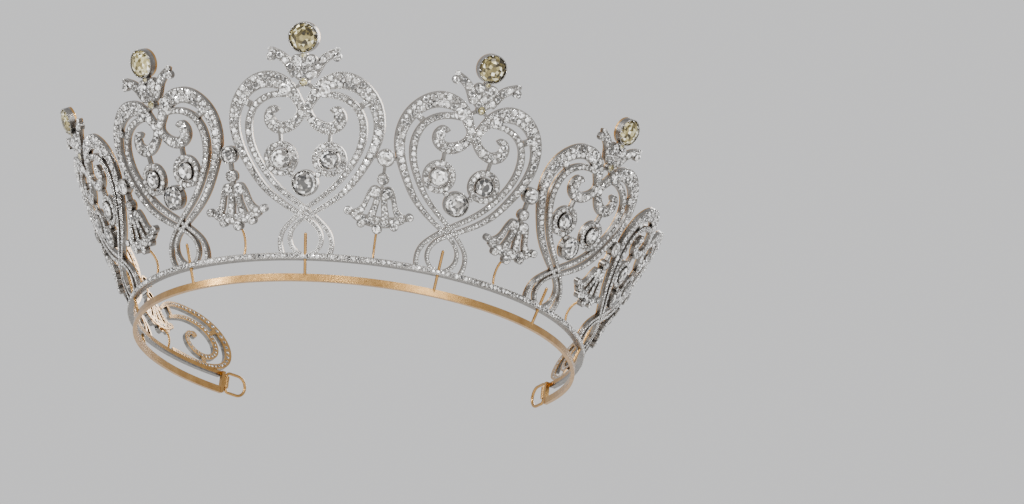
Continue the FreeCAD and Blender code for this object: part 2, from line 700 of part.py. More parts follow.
os.makedirs("parts", exist_ok=True)
for piece in nodes:
    piece.Shape.exportStep(f"parts/{piece.Label}.step")
    print(f"{piece.Label}: {len(piece.Shape.Solids)} solid(s), {piece.Shape.Volume:.1f} mm3")
pivot = turn(end_azimuth).multVec(Vector(hinge_offset, -band_line, hinge_z))
print(f"hearts at {[round(a, 1) for a in heart_azimuths]}, bells at {[round(a, 1) for a in bell_azimuths]}")
print(f"scroll {scroll_azimuth:.1f}, end {end_azimuth:.1f}, rail {rail_z:.2f}, right hinge {pivot}")
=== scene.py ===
# %% [markdown]
# # A gem-set crown
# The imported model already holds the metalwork: a jewelled rail, a gold head band, seven
# heart scrolls, five leafy finials, eight bell blossoms, two end scrolls and the hinged
# ribbon loops. What it does not hold is the jeweller's surface: thousands of small stones
# set in rows, the beaded edges beside them, the claws, and the cut of every larger stone.
# This lesson adds those, and it finishes the metal.

# %% Load the frame
import math
import random

import bmesh
import bpy
import numpy as np
from mathutils import Matrix, Vector


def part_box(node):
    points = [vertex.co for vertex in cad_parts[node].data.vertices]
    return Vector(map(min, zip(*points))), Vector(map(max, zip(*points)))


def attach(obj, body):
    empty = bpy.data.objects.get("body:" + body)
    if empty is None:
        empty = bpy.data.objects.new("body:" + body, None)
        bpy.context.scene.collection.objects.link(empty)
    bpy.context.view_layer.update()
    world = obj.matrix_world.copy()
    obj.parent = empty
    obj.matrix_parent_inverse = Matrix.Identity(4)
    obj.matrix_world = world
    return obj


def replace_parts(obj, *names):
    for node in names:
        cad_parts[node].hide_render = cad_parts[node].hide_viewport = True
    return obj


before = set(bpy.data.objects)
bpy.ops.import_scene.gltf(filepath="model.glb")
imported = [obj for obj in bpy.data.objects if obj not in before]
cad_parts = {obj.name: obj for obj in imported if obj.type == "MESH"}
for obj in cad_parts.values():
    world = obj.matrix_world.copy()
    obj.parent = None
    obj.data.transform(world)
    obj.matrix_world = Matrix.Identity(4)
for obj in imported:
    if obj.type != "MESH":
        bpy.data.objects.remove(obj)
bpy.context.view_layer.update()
dice = random.Random(7)
print("nodes", len(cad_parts))

# %% [markdown]
# ## The shape that everything follows
# Every heart, bell and finial is a flat drawing wrapped on one leaning cone. A stone is
# placed by its (across, up) position on a drawing, and `seat` turns that into a frame on
# the cone: x along the ring, y up the metal, z straight out. The cone is read from the
# rail, whose outer face stands proud of it by a known step.

# %% Cone and seats
MM = 0.001
LEAN = math.radians(27.8)       # how far the crown leans out from upright
RAIL_PROUD = 0.4        # how far the rail's outer face stands in front of the cone
THICK = 1.8             # thickness of the plate that the hearts are cut from

rail_low, rail_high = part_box("base_rail")
RAIL_OUTER = (rail_high[0] - rail_low[0]) / 2 / MM
RADIUS = RAIL_OUTER - RAIL_PROUD
RAIL_Z = (rail_low[2] + rail_high[2]) / 2 / MM
print(f"ring radius {RADIUS:.2f} mm, rail at {RAIL_Z:.2f} mm")


def seat(across, up):
    """The frame on the cone under a place on a drawing, for a drawing at the very front."""
    reach = RADIUS + up * math.sin(LEAN)
    square = 1 - math.tan(LEAN) ** 2
    linear = 2 * reach / math.cos(LEAN)
    inward = (-linear + math.sqrt(linear**2 - 4 * square * across**2)) / (2 * square)
    y = -(reach + inward * math.cos(LEAN))
    z = RAIL_Z + up * math.cos(LEAN) - inward * math.sin(LEAN)
    facing = Matrix.Rotation(math.atan2(across, -y), 4, "Z")
    tilt = Matrix.Rotation(math.pi / 2 + LEAN, 4, "X")
    return Matrix.Translation(Vector((across, y, z))) @ facing @ tilt


def turned(azimuth, place):
    """A place at the front carried round the ring, towards +X for a positive angle."""
    return Matrix.Rotation(math.radians(azimuth), 4, "Z") @ place


def azimuth_of(node):
    """How far round the ring a symmetric node sits, from the centre of its surface."""
    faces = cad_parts[node].data.polygons
    middle = sum((face.center * face.area for face in faces), Vector())
    return math.degrees(math.atan2(middle.x, -middle.y))


def span(width, level):
    """Angle round the ring that a width takes at a height up the metal."""
    return math.degrees(math.asin(width / (RADIUS + level * math.sin(LEAN))))


# %% [markdown]
# ## Shader maths as plain expressions
# A jeweller's surface is a mix of masks: how far back from the front of the plate, how
# worn, how scratched. Writing those as Python expressions keeps each finish readable, so
# one small class wraps a socket and turns `a * b + c` into Math nodes.

# %% Shader helper
class Sock:
    def __init__(self, tree, socket):
        self.tree, self.socket = tree, socket

    def math(self, operation, *others, clamp=False):
        node = self.tree.nodes.new("ShaderNodeMath")
        node.operation = operation
        node.use_clamp = clamp
        for slot, value in zip(node.inputs, (self, *others)):
            if isinstance(value, Sock):
                self.tree.links.new(value.socket, slot)
            else:
                slot.default_value = value
        return Sock(self.tree, node.outputs[0])

    def __add__(self, other): return self.math("ADD", other)
    def __radd__(self, other): return self.math("ADD", other)
    def __sub__(self, other): return self.math("SUBTRACT", other)
    def __rsub__(self, other): return (self * -1).math("ADD", other)
    def __mul__(self, other): return self.math("MULTIPLY", other)
    def __rmul__(self, other): return self.math("MULTIPLY", other)
    def __truediv__(self, other): return self.math("DIVIDE", other)
    def root(self): return self.math("SQRT")
    def clamp(self): return self.math("ADD", 0.0, clamp=True)


class Finish:
    """One material: its tree, its Principled shader and a few short ways to add nodes."""

    def __init__(self, name):
        self.material = bpy.data.materials.new(name)
        self.material.use_nodes = True
        self.tree = self.material.node_tree
        self.shader = self.tree.nodes["Principled BSDF"]

    def add(self, kind, settings=None, output=0, **inputs):
        node = self.tree.nodes.new(kind)
        for key, value in (settings or {}).items():
            setattr(node, key, value)
        for key, value in inputs.items():
            socket = node.inputs[key.replace("_", " ")]
            if isinstance(value, Sock):
                self.tree.links.new(value.socket, socket)
            else:
                socket.default_value = value
        return Sock(self.tree, node.outputs[output])

    def position(self):
        return self.add("ShaderNodeTexCoord", output="Object")

    def axis(self, name):
        return self.add("ShaderNodeSeparateXYZ", output=name, Vector=self.position())

    def noise(self, scale, detail=2.0):
        return self.add("ShaderNodeTexNoise", Vector=self.position(), Scale=scale,
                        Detail=detail)

    def ramp(self, factor, stops):
        node = self.tree.nodes.new("ShaderNodeValToRGB")
        while len(node.color_ramp.elements) < len(stops):
            node.color_ramp.elements.new(0.5)
        for element, (place, colour) in zip(node.color_ramp.elements, stops):
            element.position = place
            element.color = (*colour, 1)
        self.tree.links.new(factor.socket, node.inputs[0])
        return Sock(self.tree, node.outputs[0])

    def blend(self, factor, first, second):
        node = self.tree.nodes.new("ShaderNodeMix")
        node.data_type = "RGBA"
        factor_slot, first_slot, second_slot = (node.inputs[place] for place in (0, 6, 7))
        for slot, value in ((factor_slot, factor), (first_slot, first), (second_slot, second)):
            if isinstance(value, Sock):
                self.tree.links.new(value.socket, slot)
            else:
                slot.default_value = (*value, 1) if isinstance(value, tuple) else value
        return Sock(self.tree, node.outputs[2])

    def feed(self, **sockets):
        for key, value in sockets.items():
            socket = self.shader.inputs[key.replace("_", " ")]
            if isinstance(value, Sock):
                self.tree.links.new(value.socket, socket)
            else:
                socket.default_value = value

    def bump(self, height, strength, distance):
        self.feed(Normal=self.add("ShaderNodeBump", Strength=strength, Distance=distance,
                                  Height=height))


# %% [markdown]
# ## Metal
# Old stone-set crowns are silver in front, which flatters white stones, and gold behind,
# which does not stain the hair. One finish can do both: the distance behind the leaning
# cone picks silver for the front three quarters of the plate and gold behind that.
# Fine noise makes the rubbed, slightly grey silver of a hand-finished setting. The metal
# colours are also kept dark, as painted shade between the stones and a painted dark
# reflection.

# %% Metal finishes
# Dark metal colours: partly worn grey metal, partly painted shade between the stones and a
# painted reflection of dark surroundings.
SILVER = (0.33, 0.315, 0.295)
SILVER_DARK = (0.07, 0.065, 0.06)
GOLD = (0.60, 0.36, 0.13)
GOLD_DEEP = (0.28, 0.14, 0.04)
BEAD_SILVER = (0.62, 0.60, 0.57)
BEAD_SILVER_DARK = (0.26, 0.25, 0.235)
GOLD_FROM = 0.75        # how far through the plate the gold begins, as a share
GOLD_BLEND = 0.1        # width of the seam between the two metals


def gold_colour(finish):
    # The gold is painted darker than bright gold as a painted dark reflection; the patches vary
    # its tone at random.
    patches = finish.noise(260.0, 3.0)
    return finish.blend(patches, GOLD_DEEP, GOLD)


def make_gold():
    finish = Finish("yellow_gold")
    finish.feed(Base_Color=gold_colour(finish), Metallic=1.0,
                Roughness=finish.noise(900.0) * 0.22 + 0.16, Coat_Weight=0.15)
    finish.bump(finish.noise(1800.0, 3.0), 0.25, 0.00012)
    return finish.material


def make_setting():
    finish = Finish("silver_over_gold")
    x, y, z = finish.axis("X"), finish.axis("Y"), finish.axis("Z")
    cone = (z - RAIL_Z * MM) * math.tan(LEAN) + RADIUS * MM
    depth = (cone - (x * x + y * y).root()) * math.cos(LEAN)
    gold_side = ((depth - GOLD_FROM * THICK * MM) / (GOLD_BLEND * MM)).clamp()
    # Rubbed, grey silver mixed with painted shade between the stones.
    rubbed_and_painted_dark = finish.blend(finish.noise(700.0, 4.0), SILVER_DARK, SILVER)
    finish.feed(Base_Color=finish.blend(gold_side, rubbed_and_painted_dark, gold_colour(finish)), Metallic=1.0,
                Roughness=finish.noise(1300.0, 3.0) * 0.25 + 0.17)
    finish.bump(finish.noise(2400.0, 3.0), 0.35, 0.00015)
    return finish.material


def make_bright_silver():
    finish = Finish("bright_silver")
    # Rubbed bead silver, kept dark as a painted dark reflection.
    rubbed_and_painted_dark = finish.blend(finish.noise(1200.0, 3.0), BEAD_SILVER_DARK, BEAD_SILVER)
    finish.feed(Base_Color=rubbed_and_painted_dark, Metallic=1.0, Roughness=finish.noise(1500.0) * 0.2 + 0.14)
    return finish.material


# %% [markdown]
# ## Stones
# A cut stone looks bright in some facets and almost black in others, because each facet
# sends the eye to a different part of the room. Real refraction does this, but it is slow
# and noisy on thousands of tiny stones. Here every facet carries a seeded random number,
# its glint, and the finish turns that number into painted light in the stone's colours,
# from a painted dark reflection to a painted highlight. The few highest glints glow as a
# painted sparkle. A strong index of refraction keeps the sharp reflections.

# %% Stone finishes
# A facet with a glint above these glows with a painted sparkle, though the stone is no lamp.
FLASH_FROM, FLASH_FULL = 0.84, 0.93     # the glints between which a facet starts to flash


def make_stone(name, stops, roughness, painted_glow, coat, index):
    finish = Finish(name)
    glint = finish.add("ShaderNodeAttribute", {"attribute_name": "glint"}, output="Fac")
    # Noise shifts each facet's painted reflection a little brighter or darker.
    depth = finish.noise(650.0, 1.0) * 0.3 - 0.15
    painted_facet_light = finish.ramp((glint + depth).clamp(), stops)
    brightest = stops[-1][1]
    # The brightest facets glow: a painted sparkle.
    painted_flash = finish.ramp(glint, [(FLASH_FROM, (0.0, 0.0, 0.0)), (FLASH_FULL, brightest)])
    finish.feed(Base_Color=painted_facet_light, Emission_Color=painted_flash, Emission_Strength=painted_glow, Metallic=0.35,
                Roughness=glint * roughness + 0.03, IOR=index, Coat_Weight=coat,
                Coat_Roughness=0.02)
    return finish.material


# Painted facet light for each stone, from near-black painted dark reflections to white painted
# highlights; the champagne ramp also carries the stone's real tint.
WHITE_PAINTED_FIRE = [
    (0.00, (0.010, 0.010, 0.010)), (0.22, (0.05, 0.046, 0.042)), (0.42, (0.20, 0.185, 0.165)),
    (0.60, (0.50, 0.48, 0.45)), (0.76, (0.92, 0.915, 0.90)), (1.00, (1.0, 1.0, 1.0)),
]
CHAMPAGNE_PAINTED_FIRE = [
    (0.00, (0.02, 0.015, 0.005)), (0.20, (0.09, 0.068, 0.018)), (0.44, (0.26, 0.21, 0.075)),
    (0.64, (0.50, 0.43, 0.19)), (0.84, (0.80, 0.75, 0.47)), (1.00, (1.0, 0.98, 0.86)),
]

gold = make_gold()
setting = make_setting()
bright_silver = make_bright_silver()
white_stone = make_stone("white_stone", WHITE_PAINTED_FIRE, 0.10, 0.7, 0.5, 2.2)
champagne_stone = make_stone("champagne_stone", CHAMPAGNE_PAINTED_FIRE, 0.08, 0.5, 0.1, 1.7)

GOLD_NODES = ("head_band", "heart_posts", "bell_stays", "loop_knuckle", "ribbon_loop")
for name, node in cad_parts.items():
    finish = gold if name.startswith(GOLD_NODES) else setting
    for slot in node.material_slots:
        slot.material = finish

# %% [markdown]
# ## The cut of a stone
# A brilliant is a convex solid, so the quickest honest way to model one is to place its
# corners in rings and let the convex hull operator find the facets: a small flat table, a
# ring or two of star corners, the girdle, and for the large stones a pavilion that closes
# to a point. The small pave stones have fewer corners because they are repeated thousands
# of times. Each ring below is its number of corners, its radius and its height for a stone
# of radius one, and how far it is turned, as a share of the step between two corners.

# %% Stone templates
def ring_corners(bm, count, radius, height, shift=0.0):
    for index in range(count):
        angle = 2 * math.pi * (index + shift) / count
        bm.verts.new((radius * math.cos(angle), radius * math.sin(angle), height))


def cut_stone(name, rings, point=None):
    bm = bmesh.new()
    for ring in rings:
        ring_corners(bm, *ring)
    if point is not None:
        bm.verts.new((0, 0, point))
    bmesh.ops.convex_hull(bm, input=bm.verts)
    flat = math.radians(0.5)
    bmesh.ops.dissolve_limit(bm, angle_limit=flat, verts=bm.verts, edges=bm.edges)
    bmesh.ops.recalc_face_normals(bm, faces=bm.faces)
    mesh = bpy.data.meshes.new(name)
    bm.to_mesh(mesh)
    print(name, "has", len(bm.faces), "facets")
    bm.free()
    return mesh


pave_cut = cut_stone(
    "pave_cut",
    [(8, 0.50, 0.36), (8, 0.80, 0.22, 0.5), (8, 1.0, 0.0), (8, 0.85, -0.3)],
)
brilliant_cut = cut_stone(
    "brilliant_cut",
    [(6, 0.30, 0.355), (8, 0.54, 0.32, 0.5), (8, 0.79, 0.22),
     (16, 1.0, 0.05, 0.5), (16, 1.0, -0.02, 0.5),
     (8, 0.62, -0.38), (8, 0.22, -0.68, 0.5)],
    point=-0.80,
)
cushion_cut = cut_stone(
    "cushion_cut",
    [(6, 0.24, 0.36), (12, 0.46, 0.33, 0.5), (12, 0.64, 0.28), (16, 0.83, 0.19, 0.25),
     (16, 1.0, 0.05, 0.5), (16, 1.0, -0.02, 0.5),
     (16, 0.70, -0.32), (8, 0.34, -0.62, 0.5)],
    point=-0.80,
)
back_cut = cut_stone("back_cut", [(8, 1.0, 0.0), (4, 0.45, 0.22, 0.5)])


def ball(name, stretch=(1, 1, 1)):
    """A bead of metal, drawn out into a finger where a stretch is given."""
    bm = bmesh.new()
    bmesh.ops.create_icosphere(bm, subdivisions=1, radius=1.0)
    bmesh.ops.scale(bm, vec=stretch, verts=bm.verts)
    mesh = bpy.data.meshes.new(name)
    bm.to_mesh(mesh)
    bm.free()
    return mesh


grain = ball("grain")
claw = ball("claw", (0.75, 0.75, 1.9))

# %% [markdown]
# ## Stamping
# A setter works along a strand and drops one stone after another. `Tray` does the same: it
# collects stamped copies of a template in one mesh, gives every facet its glint, and hands
# back one piece that rides on the crown. A fine setting is open behind each stone, so a
# paved tray also keeps a second tray: the tips of the stones that show in the gold back.

# %% The tray that collects copies
# A stone's mood sets how dark its painted facet light runs, so whole stones differ in painted
# brightness.
MOODS = (0.5, 1.9)      # a stone with a high mood has mostly dark facets
CROWDING = 0.86         # how close two stones may stand, as a share of touching
SMALLEST_HOLE = 0.6     # a smaller stone has no hole behind it
BACK_SIZE = 0.62        # the tip that shows behind, as a share of the stone
BACK_STEP = 0.02        # how far the tip stands off the back of the plate
# The tips behind get only the darker painted glints.
BACK_GLINT = 0.75       # the brightest glint behind


class Tray:
    def __init__(self, name, material, slot, open_back=False):
        self.name, self.material, self.slot = name, material, slot
        self.bm = bmesh.new()
        self.taken = []
        self.moods = []
        self.behind = Tray(name.replace("pave", "back"), material, slot) if open_back else None

    def stamp(self, template, place, size):
        """One copy of the template at a place, with its size in millimetres."""
        copy = template.copy()
        copy.transform(Matrix.Scale(MM, 4) @ place @ Matrix.Diagonal((size, size, size, 1)))
        self.bm.from_mesh(copy)
        self.moods += [dice.uniform(*MOODS)] * len(copy.polygons)
        bpy.data.meshes.remove(copy)

    def stamp_back(self, across, up, size, azimuth):
        """The tip of a stone, seen through the hole behind it."""
        if self.behind and size > SMALLEST_HOLE:
            flipped = Matrix.Rotation(math.pi, 4, "X")
            back = Matrix.Translation((0, 0, -THICK - BACK_STEP)) @ flipped
            place = turned(azimuth, seat(across, up) @ back)
            self.behind.stamp(back_cut, place, BACK_SIZE * size)

    def clear_of(self, across, up, size):
        """True where no earlier stone on this drawing is in the way."""
        for other_across, other_up, other in self.taken:
            gap = math.hypot(across - other_across, up - other_up)
            if gap < CROWDING * (size + other):
                return False
        self.taken.append((across, up, size))
        return True

    def piece(self, low=0.0, high=1.0):
        """Everything stamped so far as one piece, with each facet's glint drawn."""
        mesh = bpy.data.meshes.new(self.name)
        bmesh.ops.recalc_face_normals(self.bm, faces=self.bm.faces)
        glint = self.bm.faces.layers.float.new("glint")
        for face, mood in zip(self.bm.faces, self.moods):
            face[glint] = low + (high - low) * dice.random() ** mood
        self.bm.to_mesh(mesh)
        self.bm.free()
        mesh.materials.append(self.material)
        piece = bpy.data.objects.new(self.name, mesh)
        bpy.context.scene.collection.objects.link(piece)
        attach(piece, "crown")
        if self.behind:
            self.behind.piece(0.0, BACK_GLINT)
        return piece


def white_tray(name, open_back=False):
    return Tray(name, white_stone, "white_stones", open_back)


def silver_tray(name):
    return Tray(name, bright_silver, "silver_settings")


# %% [markdown]
# ## Strands
# A strand is a smooth curve through a few drawn points, each with a width. The same curve
# shaped the metal, so a natural cubic spline through the same points keeps the stones on
# it. Rows of stones are walked along the strand: one row where it is narrow, two where it
# swells over the lobe, three in the body of a finial, and a beaded edge down each side.

# %% Walking a strand
RIM = 0.20              # metal left outside the stones on each side
ROW = 3.4               # widest row of small stones
ROW_START = 0.8         # where the first stone stands on a strand
ROW_PACE = 1.02         # step to the next stone, as a share of the row's width
ROW_SIZES = (0.94, 1.0)         # how much the stones of a row differ
SMALL_LIFT = 0.06       # how far a small stone stands out of the plate
FILLERS = (1.0, 0.72, 0.5)      # sizes that close the gaps, the largest first
FILLER_START, FILLER_PACE = 0.5, 0.4
FILLER_LANES = 3        # lanes tried on each side of the middle
EDGE_START, EDGE_PACE = 0.2, 0.62
EDGE_INSET = 0.10       # from the edge of a strand to its beads
EDGE_BEAD = 0.18
NEARBY = 0.05           # how far on each side the direction is measured


def natural_spline(knots, values):
    """Second derivatives of a natural cubic spline."""
    count = len(knots)
    step = np.diff(knots)
    matrix = np.eye(count)
    right = np.zeros(count)
    for i in range(1, count - 1):
        matrix[i, i - 1:i + 2] = step[i - 1], 2 * (step[i - 1] + step[i]), step[i]
        slope_after = (values[i + 1] - values[i]) / step[i]
        slope_before = (values[i] - values[i - 1]) / step[i - 1]
        right[i] = 6 * (slope_after - slope_before)
    return np.linalg.solve(matrix, right)


def smooth(points, samples=400):
    """Many rows of (across, up, width, length so far) down a strand."""
    points = np.array(points, dtype=float)
    knots = np.concatenate([[0], np.cumsum(np.hypot(*np.diff(points[:, :2], axis=0).T))])
    fine = np.linspace(0, knots[-1], samples)
    which = np.clip(np.searchsorted(knots, fine) - 1, 0, len(knots) - 2)
    step = knots[which + 1] - knots[which]
    after = (fine - knots[which]) / step
    before = 1 - after
    columns = []
    for column in range(2):
        values = points[:, column]
        bend = natural_spline(knots, values)
        cubic = (before**3 - before) * bend[which] + (after**3 - after) * bend[which + 1]
        columns.append(before * values[which] + after * values[which + 1] + cubic * step**2 / 6)
    columns.append(np.interp(fine, knots, points[:, 2]))
    run = np.concatenate([[0], np.cumsum(np.hypot(np.diff(columns[0]), np.diff(columns[1])))])
    return np.array(columns + [run]).T


def walk(line, start, pace):
    """Steps down a line; pace says how far to go for the width found."""
    run = line[:, 3]
    total = run[-1]

    def point(at, columns=2):
        return [np.interp(at, run, line[:, column]) for column in range(columns)]

    at = start
    while at < total - start:
        across, up, width = point(at, 3)
        ahead, behind = point(min(at + NEARBY, total)), point(max(at - NEARBY, 0))
        along = Vector((ahead[0] - behind[0], ahead[1] - behind[1])).normalized()
        yield across, up, width, Vector((-along.y, along.x))
        at += pace(width)


def stone_room(width):
    return width - 2 * RIM


def rows_for(width):
    return math.ceil(stone_room(width) / ROW)


def beside(across, up, sideways, shift, side):
    """A place beside a step of the walk, on the right half or mirrored to the left."""
    return (across + sideways.x * shift) * side, up + sideways.y * shift


def set_strand(tray, points, scale, azimuth, mirrored=False):
    """Rows of stones down one strand, then ever smaller ones in the gaps they leave."""
    line = smooth(points) * scale
    side = -1 if mirrored else 1

    def place_small(u, v, size):
        if tray.clear_of(u, v, size):
            spin = Matrix.Rotation(dice.uniform(0, math.tau), 4, "Z")
            lift = Matrix.Translation((0, 0, SMALL_LIFT))
            tray.stamp(pave_cut, turned(azimuth, seat(u, v) @ lift @ spin), size)
            tray.stamp_back(u, v, size, azimuth)

    def row_pace(width):
        return stone_room(width) / rows_for(width) * ROW_PACE

    for across, up, width, sideways in walk(line, ROW_START, row_pace):
        rows = rows_for(width)
        row_width = stone_room(width) / rows
        for row in range(rows):
            shift = (row - (rows - 1) / 2) * row_width
            u, v = beside(across, up, sideways, shift, side)
            place_small(u, v, row_width * 0.5 * dice.uniform(*ROW_SIZES))
    for size in FILLERS:
        for across, up, width, sideways in walk(line, FILLER_START, lambda w: FILLER_PACE):
            reach = width / 2 - RIM - size
            if reach > 0:
                for lane in range(-FILLER_LANES, FILLER_LANES + 1):
                    shift = reach * lane / FILLER_LANES
                    place_small(*beside(across, up, sideways, shift, side), size)


def edge_strand(tray, points, scale, azimuth, mirrored=False):
    """Beads of metal along both edges of a strand."""
    line = smooth(points) * scale
    side = -1 if mirrored else 1
    for across, up, width, sideways in walk(line, EDGE_START, lambda w: EDGE_PACE):
        for hand in (-1, 1):
            shift = hand * (width / 2 - EDGE_INSET)
            u, v = beside(across, up, sideways, shift, side)
            tray.stamp(grain, turned(azimuth, seat(u, v)), EDGE_BEAD)


OPEN_BELOW = 0.3        # a stone set lower than this shows through a hole behind it


def set_single(tray, cut, across, up, size, azimuth, height=0.1):
    """One stone of a given radius, turned by chance."""
    spin = Matrix.Rotation(dice.uniform(0, math.tau), 4, "Z")
    place = seat(across, up) @ Matrix.Translation((0, 0, height)) @ spin
    tray.stamp(cut, turned(azimuth, place), size)
    tray.taken.append((across, up, size))
    if height < OPEN_BELOW:
        tray.stamp_back(across, up, size, azimuth)


def set_drawn(tray, cut, stone, scale, side, azimuth, height=0.1):
    """A drawn (across, up, size) stone on the right half, or on the left with side -1."""
    across, up, size = stone
    set_single(tray, cut, across * scale * side, up * scale, size * scale, azimuth, height)


# %% [markdown]
# ## The drawings
# These are the drawings of the metal, in millimetres on a full-size front heart. A strand
# is a list of across, up and width, and a single stone is across, up and radius. The left
# half of each is the mirror of the right.

# %% Drawings
HEART_OUTER = [
    (0.5, 0.1, 1.4), (-3.6, 1.5, 1.3), (-5.6, 4.7, 1.3), (-5.3, 8.4, 1.3), (-3, 11.6, 1.4),
    (0.6, 14.1, 1.5), (4.9, 16.6, 1.7), (9.8, 19.7, 2.0),
    (15.8, 24.8, 2.3), (20.3, 30.9, 2.7), (24.1, 37.6, 3.2), (26, 43, 3.6), (26.4, 48.5, 3.9),
    (25, 54, 4.6), (21.6, 58.9, 5.2), (17.5, 61.7, 5.8), (13, 62.6, 6.0), (8.6, 61.6, 5.4),
    (5, 59, 4.4), (2.6, 55.5, 3.4), (1.1, 52, 3.0), (2.4, 48.9, 3.2), (5, 46.6, 3.9),
    (9.2, 45.5, 4.3), (12.4, 47.2, 4.1), (13.1, 50, 3.5), (11.8, 52, 2.8), (9.8, 51.4, 1.8),
]
HEART_INNER = [
    (-8.2, -0.5, 1.5), (-9.4, 3.5, 1.4), (-8.7, 7.9, 1.4), (-6, 11.6, 1.4), (-1.6, 15.6, 1.5),
    (3.6, 19.4, 1.7), (10.2, 24.6, 1.9), (16, 31.6, 2.2), (20, 39.3, 2.5),
    (20.9, 46.5, 2.6), (19, 52.3, 2.4), (14.8, 56, 2.4), (10.5, 57.4, 2.4), (6.4, 57.6, 2.4),
]
HALO = (8.9, 34.5)      # middle of a haloed stone
HALO_ROW = 5.15         # radius of the ring of small stones round it
HALO_COUNT = 16
HALO_SMALL = 0.98
LOWER_LEVEL = 26        # how far up the large lower stone sits
CLUSTER_BEAD = (4.9, 29, 0.85)
SHOULDER_STONE = (7.2, 59, 2.3)
VOLUTE_STONE = (12.5, 49.6, 1.9)
BRIDGE_STONE = (21.9, 54.5, 1.25)
FLAME_BODY = [(0, 62.4, 4.0), (0, 64, 7.4), (0, 66.6, 9.4), (0, 69.4, 8.8)]
FLAME_LEAF = [
    (3.2, 64.2, 3.2), (5, 67, 3.2), (6.6, 69.4, 3.2), (8.6, 71, 3.2), (10.6, 72.3, 2.6),
    (12.2, 73.7, 1.2),
]
FLAME_SINGLES = [(2.5, 69.4, 1.85, 0.25), (12.1, 70.7, 1.55, 0.55), (12.2, 73.3, 1.05, 0.15)]
BELL_ARM = [
    (3.5, 25.2, 2.4), (4.8, 22.4, 1.9), (5.7, 19.6, 2.1), (7.2, 17.3, 2.8), (10.5, 16.7, 2.0),
]
BELL_PETAL = [(1.1, 24.4, 2.6), (1.5, 21, 2.4), (2, 18.4, 2.6), (2.8, 15.4, 3.2)]
BELL_SKIRT = [(-9.2, 16, 2.2), (-6, 14.9, 3.4), (0, 14.2, 4.0), (6, 14.9, 3.4), (9.2, 16, 2.2)]
SCROLL_OUTER = [
    (-17.5, 21.4, 1.2), (-14, 25, 1.8), (-8, 28.2, 2.2), (1, 29, 2.6), (10, 26, 3.0),
    (15.6, 19.2, 3.2), (16.6, 11.5, 3.0), (13.4, 4.9, 2.6), (6.5, 1.6, 2.2), (-4, 0.9, 2.0),
    (-17, 0.7, 1.6),
]
SCROLL_INNER = [
    (-12.6, 19.4, 1.2), (-8, 21.8, 1.6), (-1, 23.6, 2.0), (6.4, 21.5, 2.2), (10.6, 15.5, 2.4),
    (9.8, 9.4, 2.4), (5, 5.9, 2.4), (-1, 6.6, 2.4), (-4.3, 10.6, 2.2), (-3.4, 14.8, 2.0),
    (0.6, 16.2, 1.6),
]
DRAWN_WIDTH = 56.6
HEART_WIDTHS = {"front": 56.6, "second": 54.6, "third": 52.1, "rear": 49.2}
HEART_SCALE = {place: width / DRAWN_WIDTH for place, width in HEART_WIDTHS.items()}
# The darkest painted reflection on a paved piece is lifted a little.
SHADED = 0.05           # the darkest glint in a piece that is kept a little brighter


def labels_of(prefix):
    return [node[len(prefix):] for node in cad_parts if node.startswith(prefix)]


def place_of(label):
    """The scale of a heart's drawing, and how far round the ring the heart stands."""
    return HEART_SCALE[label.split("_")[0]], azimuth_of("heart_frame_" + label)


hearts = labels_of("heart_frame_")
print("hearts:", ", ".join(sorted(hearts)))

# %% [markdown]
# ## Stones on the hearts
# Each heart gets three pieces: its small stones, the tips of those stones at the back, and
# its beaded edges. The drawing places them, with the scale of that heart.

# %% Small stones and edges of the hearts
def pave_heart(label):
    scale, azimuth = place_of(label)
    stones = white_tray("pave_heart_" + label, open_back=True)
    edges = silver_tray("edge_heart_" + label)
    for side in (-1, 1):
        for stone in (SHOULDER_STONE, VOLUTE_STONE, BRIDGE_STONE):
            set_drawn(stones, brilliant_cut, stone, scale, side, azimuth)
    for mirrored in (False, True):
        for strand in (HEART_OUTER, HEART_INNER):
            set_strand(stones, strand, scale, azimuth, mirrored)
            edge_strand(edges, strand, scale, azimuth, mirrored)
    for side in (-1, 1):
        across, up = HALO[0] * scale * side, HALO[1] * scale
        for index in range(HALO_COUNT):
            angle = math.tau * index / HALO_COUNT
            u = across + HALO_ROW * scale * math.cos(angle)
            v = up + HALO_ROW * scale * math.sin(angle)
            set_single(stones, pave_cut, u, v, HALO_SMALL * scale, azimuth)
        set_drawn(stones, pave_cut, CLUSTER_BEAD, scale, side, azimuth, 0.45)
    stones.piece(low=SHADED)
    edges.piece()


for label in hearts:
    pave_heart(label)


# %% [markdown]
# ## Larger stones
# Each larger stone sits in a turned collet. A setter pushes small claws over its edge and
# rolls a beaded thread round the rim, so every stone here brings both with it. The packed
# model has a plain stone in each collet, so those nodes are replaced by the cut stones.

# %% Stones with their claws and thread
GIRDLE_HEIGHT = 0.45    # from the drawing's surface to a stone's widest ring
COLLET_WALL = 0.4
IN_COLLET = 0.985       # a stone's radius, as a share of its collet's bore
THREAD_BEAD = 0.2
THREAD_PITCH = 0.55
THREAD_LEVEL = 0.08     # these four are shares of the stone's radius
CLAW_LEVEL = 0.12
CLAW_REACH = 0.97
CLAW_GROWTH = 0.035
CLAW_LEAST = 0.16
CLAW_LEAN = math.radians(-35)


